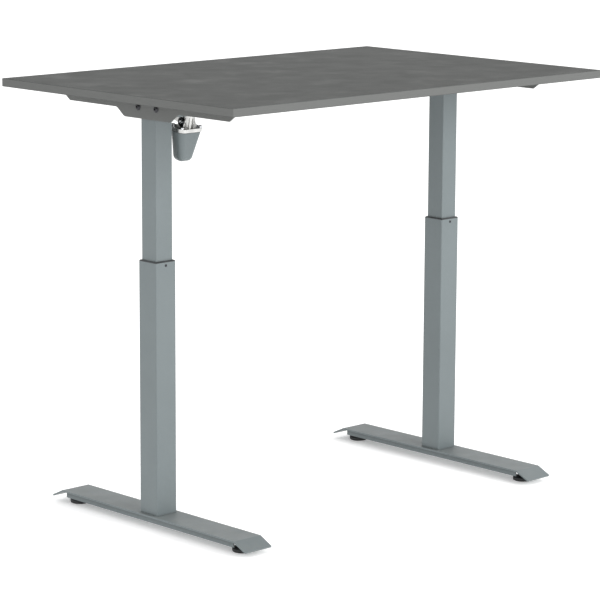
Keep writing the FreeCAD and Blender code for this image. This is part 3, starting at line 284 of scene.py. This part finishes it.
def cast_metal(name, colour=(0.50, 0.50, 0.49)):
    """Bright die-cast aluminium: sandy skin, darker pits, flow marks, polished edges."""
    s = Shader(name)
    s.set_uniform(Metallic=1.0)
    flow = s.span(s.noise(45, 4, 0.6, s.stretched(1, 1, 0.4)), 0.3, 0.7)
    base = s.blend(flow, shade(colour, 0.82), shade(colour, 1.12))
    pits = s.span(s.cells(700), 0.15, 0.04)
    base = s.blend(s.math("MULTIPLY", pits, 0.5), base, shade(colour, 0.45))
    edges = s.math("MULTIPLY", s.edges(0.7 * MM), s.span(s.noise(120, 3), 0.3, 0.6))
    base = s.blend(s.math("MULTIPLY", edges, 0.7), base, (0.85, 0.85, 0.84))
    skin = s.math("ADD", s.noise(900, 4, 0.7), s.math("MULTIPLY", s.noise(210, 2), 0.6))
    s.relief(skin, 0.12 * MM, 0.6)
    return s.finish(base, s.span(s.noise(70, 4), 0.3, 0.7, 0.26, 0.44))


def turned_metal(name, colour, roughness=0.3, lines=(1, 1, 1), scratch=0.05):
    """Machined metal: tool lines drawn along one axis, stains, fine scratches."""
    s = Shader(name)
    s.set_uniform(Metallic=1.0)
    grain = s.noise(700, 4, 0.6, s.stretched(*lines))
    stain = s.span(s.noise(35, 4), 0.35, 0.7)
    base = s.blend(stain, shade(colour, 1.06), shade(colour, 0.80))
    base = s.blend(s.span(grain, 0.35, 0.65, 0.0, 0.35), base, shade(colour, 0.7))
    edges = s.math("MULTIPLY", s.edges(0.4 * MM), 0.5)
    base = s.blend(edges, base, shade(colour, 1.35))
    s.relief(grain, scratch * MM, 0.6)
    rough = s.span(s.noise(50, 4), 0.3, 0.7, roughness - 0.06, roughness + 0.1)
    return s.finish(base, rough)


def ringed_cap(name, centre, core):
    """Black oxide with turned rings about an X axis through centre, and a bright core."""
    s = Shader(name)
    s.set_uniform(Metallic=1.0)
    y = s.math("SUBTRACT", s.axis(s.place, "Y"), centre.y)
    z = s.math("SUBTRACT", s.axis(s.place, "Z"), centre.z)
    squares = s.math("ADD", s.math("MULTIPLY", y, y), s.math("MULTIPLY", z, z))
    radius = s.math("SQRT", squares)
    rings = s.math("SINE", s.math("MULTIPLY", radius, 9000.0))
    stain = s.span(s.noise(220, 4), 0.3, 0.7)
    oxide = s.blend(stain, (0.050, 0.052, 0.056), (0.085, 0.088, 0.092))
    bright = s.blend(stain, (0.58, 0.60, 0.62), (0.74, 0.75, 0.76))
    colour = s.blend(s.span(radius, core + 0.2 * MM, core - 0.2 * MM), oxide, bright)
    s.relief(rings, 0.015 * MM, 0.5)
    return s.finish(colour, s.span(stain, 0.0, 1.0, 0.20, 0.34))


def board_laminate(name):
    """A printed circuit board: green mask over a woven glass sheet, with copper showing."""
    s = Shader(name)
    s.set_uniform(Coat_Weight=0.4, Coat_Roughness=0.15)
    weave = s.span(s.noise(900, 2), 0.3, 0.7)
    base = s.blend(weave, (0.010, 0.075, 0.030), (0.018, 0.110, 0.045))
    copper = s.span(s.noise(140, 1, 0.4, s.stretched(1, 0.15, 1)), 0.56, 0.60)
    base = s.blend(s.math("MULTIPLY", copper, 0.7), base, (0.03, 0.16, 0.07))
    s.relief(weave, 0.03 * MM, 0.5)
    return s.finish(base, s.span(weave, 0.0, 1.0, 0.28, 0.40))


def soft_rubber(name, colour=(0.018, 0.018, 0.019)):
    """Matt rubber with a dusty bloom and a pebbled skin."""
    s = Shader(name)
    s.set_uniform(Specular_IOR_Level=0.3)
    bloom = s.span(s.noise(80, 5, 0.65), 0.40, 0.75)
    base = s.blend(s.math("MULTIPLY", bloom, 0.18), colour, DUST)
    s.relief(s.noise(1100, 3), 0.12 * MM, 0.7)
    return s.finish(base, s.span(bloom, 0.0, 1.0, 0.62, 0.85))


def dark_glass(name):
    """The smoked window of the handset, with faint wipe marks."""
    s = Shader(name)
    s.set_uniform(Coat_Weight=1.0, Coat_Roughness=0.04)
    wipe = s.span(s.noise(30, 5, 0.6, s.stretched(1, 0.3, 1)), 0.4, 0.75)
    base = s.blend(s.math("MULTIPLY", wipe, 0.06), (0.006, 0.007, 0.008), DUST)
    s.relief(s.noise(260, 3), 0.01 * MM, 0.3)
    return s.finish(base, s.span(wipe, 0.0, 1.0, 0.08, 0.22))


def printed_mark(name):
    """Pale pad printing on the buttons, a little thin and uneven."""
    s = Shader(name)
    thin = s.span(s.noise(1200, 3), 0.35, 0.7)
    s.relief(thin, 0.02 * MM, 0.5)
    ink = s.blend(thin, (0.62, 0.63, 0.63), (0.44, 0.45, 0.45))
    return s.finish(ink, s.span(thin, 0.0, 1.0, 0.45, 0.6))


UP_AND_DOWN = (1, 1, 0.05)
ALONG_X = (0.05, 1, 1)
ZINC = (0.66, 0.67, 0.69)
top_low, top_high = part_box("desk_top")
cap_low, cap_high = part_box("bearing_cap")
FINISHES = {
    "frame_paint": powder_coat("frame_paint_coat", PAINT),
    # Painted shade: the bracket's frame paint as a darker, greyer copy.
    "bracket_paint": powder_coat("bracket_shaded_paint_coat", BRACKET_SHADED_PAINT, dust=0.1),
    "cover_paint": powder_coat("cover_paint_coat", shade(PAINT, 0.95), 0.38, dust=0.1),
    "laminate": laminate_top("laminate_skin", top_low, top_high),
    "plain_steel": turned_metal("plain_steel_rolled", (0.40, 0.40, 0.41), 0.40, UP_AND_DOWN),
    "bearing_steel": turned_metal("bearing_steel_ground", (0.62, 0.62, 0.63), 0.22),
    "gear_steel": turned_metal("gear_steel_cut", (0.42, 0.42, 0.44), 0.28),
    "spindle_steel": turned_metal("spindle_steel_rolled", (0.50, 0.50, 0.51), 0.25),
    "shaft_steel": turned_metal("shaft_steel_drawn", (0.48, 0.48, 0.50), 0.30, ALONG_X),
    "rotor_steel": turned_metal("rotor_steel_stack", (0.35, 0.34, 0.33), 0.38, (1, 1, 3)),
    "wheel_bronze": turned_metal("wheel_bronze_cut", (0.62, 0.42, 0.20), 0.30),
    "magnet_iron": moulded_plastic("magnet_iron_pressed", (0.045, 0.045, 0.048), 0.55, 0.25),
    "nut_plastic": moulded_plastic("nut_plastic_moulded", (0.62, 0.60, 0.54), 0.45),
    "cast_aluminium": cast_metal("cast_aluminium_skin"),
    "cap_black": ringed_cap("cap_black_ringed", (cap_low + cap_high) / 2, 4.5 * MM),
    "zinc_screws": turned_metal("zinc_screws_plated", ZINC, 0.22),
    "black_bolts": turned_metal("black_bolts_oxide", (0.055, 0.055, 0.06), 0.36),
    "collar_plastic": moulded_plastic("collar_plastic_moulded", (0.032, 0.035, 0.037), 0.48),
    "pad_plastic": moulded_plastic("pad_plastic_moulded", (0.05, 0.05, 0.052), 0.4),
    "glide_plastic": moulded_plastic("glide_plastic_moulded", (0.010, 0.011, 0.012), 0.52, 0.22),
    "box_plastic": moulded_plastic("box_plastic_moulded", (0.022, 0.023, 0.025), 0.50, 0.2),
    "socket_plastic": moulded_plastic("socket_plastic_moulded", (0.012, 0.012, 0.013), 0.35),
    "board_green": board_laminate("board_green_sheet"),
    "handset_plastic": moulded_plastic("handset_plastic_moulded", (0.030, 0.031, 0.034), 0.46),
    "button_plastic": moulded_plastic("button_plastic_moulded", (0.10, 0.105, 0.11), 0.42, 0.08),
}
rubber = soft_rubber("rubber_seal")
window = dark_glass("window_smoked")
print_ink = printed_mark("mark_print")

# Painted shade: a slightly darker copy of the frame paint, with deep crevice shade, for the
# shadow of the foot plates' overhang on the channels.
shaded_channel_paint = powder_coat("channel_shaded_coat", shade(PAINT, 0.96), dust=0.1, crevice_shade=0.85,
                              reach=16 * MM)

for label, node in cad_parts.items():
    for material_slot in node.material_slots:
        finish = FINISHES[material_slot.material.name]
        material_slot.material = shaded_channel_paint if "channel" in label else finish


# --------------------------------------------------------------------- added pieces


def piece(name, mesh, material, body, place=None):
    """An object from a bmesh, smooth where its faces nearly agree, riding on a body."""
    data = bpy.data.meshes.new(name)
    mesh.to_mesh(data)
    mesh.free()
    data.materials.append(material)
    item = bpy.data.objects.new(name, data)
    bpy.context.scene.collection.objects.link(item)
    if place:
        item.matrix_world = place
    data.shade_smooth()
    data.set_sharp_from_angle(angle=math.radians(32))
    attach(item, body)
    return item


def rounded_outline(width, depth, corner, steps=8):
    """The points of a rectangle with round corners, anticlockwise about its centre."""
    points = []
    for turn, (x, y) in enumerate(((1, 1), (-1, 1), (-1, -1), (1, -1))):
        centre = Vector((x * (width / 2 - corner), y * (depth / 2 - corner), 0))
        for step in range(steps + 1):
            angle = math.pi / 2 * (turn + step / steps)
            points.append(centre + Vector((math.cos(angle), math.sin(angle), 0)) * corner)
    return points


def add_slab(mesh, outline, low, high, bevel=0.0):
    """A flat slab over an outline, with its upper rim drawn in a little for a soft edge."""
    middle = sum(outline, Vector()) / len(outline)
    reach = max((point - middle).length for point in outline)
    levels = [(low, 0.0), (high - bevel, 0.0), (high, bevel)] if bevel else [(low, 0), (high, 0)]
    rings = []
    for height, inset in levels:
        ring = []
        for point in outline:
            pulled = middle + (point - middle) * (1 - inset / reach)
            ring.append(mesh.verts.new((pulled.x, pulled.y, height)))
        rings.append(ring)
    for lower, upper in zip(rings, rings[1:]):
        for n in range(len(lower)):
            after = (n + 1) % len(lower)
            mesh.faces.new((lower[n], lower[after], upper[after], upper[n]))
    mesh.faces.new(list(reversed(rings[0])))
    mesh.faces.new(rings[-1])


def add_band(mesh, inner, outer, low, high):
    """A closed band between an inner and an outer outline of equal counts."""
    rings = [
        [mesh.verts.new((point.x, point.y, height)) for point in outline]
        for outline, height in ((inner, low), (outer, low), (outer, high), (inner, high))
    ]
    for side in range(4):
        first, second = rings[side], rings[(side + 1) % 4]
        for n in range(len(first)):
            after = (n + 1) % len(first)
            mesh.faces.new((first[n], first[after], second[after], second[n]))


def motor_seal():
    """The thin rubber seal between the flange of the gear housing and the motor cover."""
    outer = rounded_outline(69.0 * MM, 43.4 * MM, 14.6 * MM)
    inner = rounded_outline(66.0 * MM, 40.0 * MM, 13.0 * MM)
    mesh = bmesh.new()
    add_band(mesh, inner, outer, FLANGE_BOTTOM - 1.3 * MM, FLANGE_BOTTOM)
    piece("motor_seal", mesh, rubber, "lift", worm_place)


def housing_ribs():
    """The cast ribs that stiffen the flange, each a thin wedge beside the worm's sleeve."""
    sleeve, rim = 13.5 * MM, 21.5 * MM
    foot, waist, top = FLANGE_TOP - 0.5 * MM, -22.0 * MM, -4.0 * MM
    thickness = 2.2 * MM
    profile = [(sleeve, foot), (rim, foot), (rim, waist), (sleeve + 2.4 * MM, top), (sleeve, top)]
    mesh = bmesh.new()
    for angle in (-150, -115, -80, -45, -10):
        turn = Matrix.Rotation(math.radians(angle), 4, "Z")
        sides = []
        for offset in (-thickness / 2, thickness / 2):
            sides.append([mesh.verts.new(turn @ Vector((r, offset, z))) for r, z in profile])
        mesh.faces.new(list(reversed(sides[0])))
        mesh.faces.new(sides[1])
        for n in range(len(profile)):
            after = (n + 1) % len(profile)
            mesh.faces.new((sides[0][n], sides[0][after], sides[1][after], sides[1][n]))
    bmesh.ops.recalc_face_normals(mesh, faces=mesh.faces)
    ribs = piece("housing_ribs", mesh, FINISHES["cast_aluminium"], "lift",
                 worm_place)
    soften(ribs, 0.4 * MM)


def soften(item, width):
    """Rounds the sharp edges of a piece."""
    bevel = item.modifiers.new("eased_edges", "BEVEL")
    bevel.width = width
    bevel.segments = 2
    bevel.limit_method = "ANGLE"
    bevel.angle_limit = math.radians(40)


def handset_window():
    """The small dark window beside the buttons on the handset's front."""
    case_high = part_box("handset_case")[1]
    down_low, down_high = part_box("button_down")
    left = down_high.x + 5 * MM
    right = case_high.x - 16 * MM
    height = down_high.z - down_low.z
    centre = Vector(((left + right) / 2, case_high.y, (down_low.z + down_high.z) / 2))
    mesh = bmesh.new()
    add_slab(mesh, rounded_outline(right - left, height, 1.6 * MM), -0.4 * MM, 0.5 * MM, 0.3 * MM)
    place = Matrix.Translation(centre) @ FACING_BACK
    piece("handset_window", mesh, window, "lift", place)


def button_mark(direction, tip):
    """A raised triangle on the button's face, its point toward local Y times tip."""
    low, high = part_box(f"button_{direction}")
    size = (high.z - low.z) * 0.26
    mesh = bmesh.new()
    outline = [Vector((-size, -tip * size * 0.8, 0)), Vector((size, -tip * size * 0.8, 0)),
               Vector((0, tip * size, 0))]
    if tip < 0:
        outline.reverse()
    add_slab(mesh, outline, -0.2 * MM, 0.15 * MM, 0.05 * MM)
    centre = (low + high) / 2
    place = Matrix.Translation((centre.x, high.y, centre.z)) @ FACING_BACK
    piece(f"{direction}_mark", mesh, print_ink, f"button_{direction}", place)


worm_low, worm_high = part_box("worm_shaft")
wheel_low, wheel_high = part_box("worm_wheel")
wheel_axis = (wheel_low + wheel_high) / 2
tilt = Matrix.Rotation(MOTOR_TILT, 4, "X")
worm_centre = Vector(((worm_low.x + worm_high.x) / 2, wheel_axis.y, wheel_axis.z))
worm_centre += tilt @ Vector((0, -WORM_DISTANCE, 0))
worm_place = Matrix.Translation(worm_centre) @ tilt

motor_seal()
housing_ribs()
handset_window()
button_mark("up", -1)
button_mark("down", 1)


# ------------------------------------------------------------- floor, light, camera


def pale_floor():
    """A wide plain floor, a touch below the glides so that no two faces coincide."""
    mesh = bmesh.new()
    half = 60.0
    corners = [(-half, -half), (half, -half), (half, half), (-half, half)]
    mesh.faces.new([mesh.verts.new((x, y, 0)) for x, y in corners])
    data = bpy.data.meshes.new("pale_floor")
    mesh.to_mesh(data)
    mesh.free()
    floor = bpy.data.objects.new("pale_floor", data)
    bpy.context.scene.collection.objects.link(floor)
    floor.location.z = -0.0005
    s = Shader("pale_floor_paint")
    s.set_uniform(Specular_IOR_Level=0.0, Emission_Color=(1, 1, 1, 1), Emission_Strength=0.25)
    data.materials.append(s.finish((0.93, 0.93, 0.93), 0.9))


def soft_light(name, place, aim, width, power):
    """A square area light at a place, turned toward an aim."""
    data = bpy.data.lights.new(name, "AREA")
    data.size = width
    data.energy = power
    item = bpy.data.objects.new(name, data)
    item.location = place
    item.rotation_euler = (Vector(aim) - Vector(place)).to_track_quat("-Z", "Y").to_euler()
    bpy.context.scene.collection.objects.link(item)


def white_surround(strength):
    """Even white light from all round."""
    world = bpy.data.worlds.new("white_surround")
    world.use_nodes = True
    background = world.node_tree.nodes["Background"]
    background.inputs["Color"].default_value = (1, 1, 1, 1)
    background.inputs["Strength"].default_value = strength
    bpy.context.scene.world = world


def camera():
    """A long lens at eye height, off the -X -Y corner of the top."""
    data = bpy.data.cameras.new("camera")
    data.lens = CAMERA_LENS
    data.sensor_width = 36.0
    data.clip_end = 200.0
    item = bpy.data.objects.new("camera", data)
    bpy.context.scene.collection.objects.link(item)
    turn = (
        Matrix.Rotation(-CAMERA_YAW, 4, "Z")
        @ Matrix.Rotation(math.pi / 2 - CAMERA_PITCH, 4, "X")
        @ Matrix.Rotation(CAMERA_ROLL, 4, "Z")
    )
    behind = turn @ Vector((0, 0, CAMERA_DISTANCE))
    item.matrix_world = Matrix.Translation(CAMERA_AIM + behind) @ turn
    bpy.context.scene.camera = item


pale_floor()
white_surround(1.15)
soft_light("front_softbox", (0.9, -3.6, 1.7), (0, 0, 0.75), 1.8, 88)
soft_light("side_softbox", (-3.0, -0.9, 1.45), (-0.5, -0.1, 0.98), 1.1, 11)
camera()
bpy.context.scene.view_settings.view_transform = "Standard"
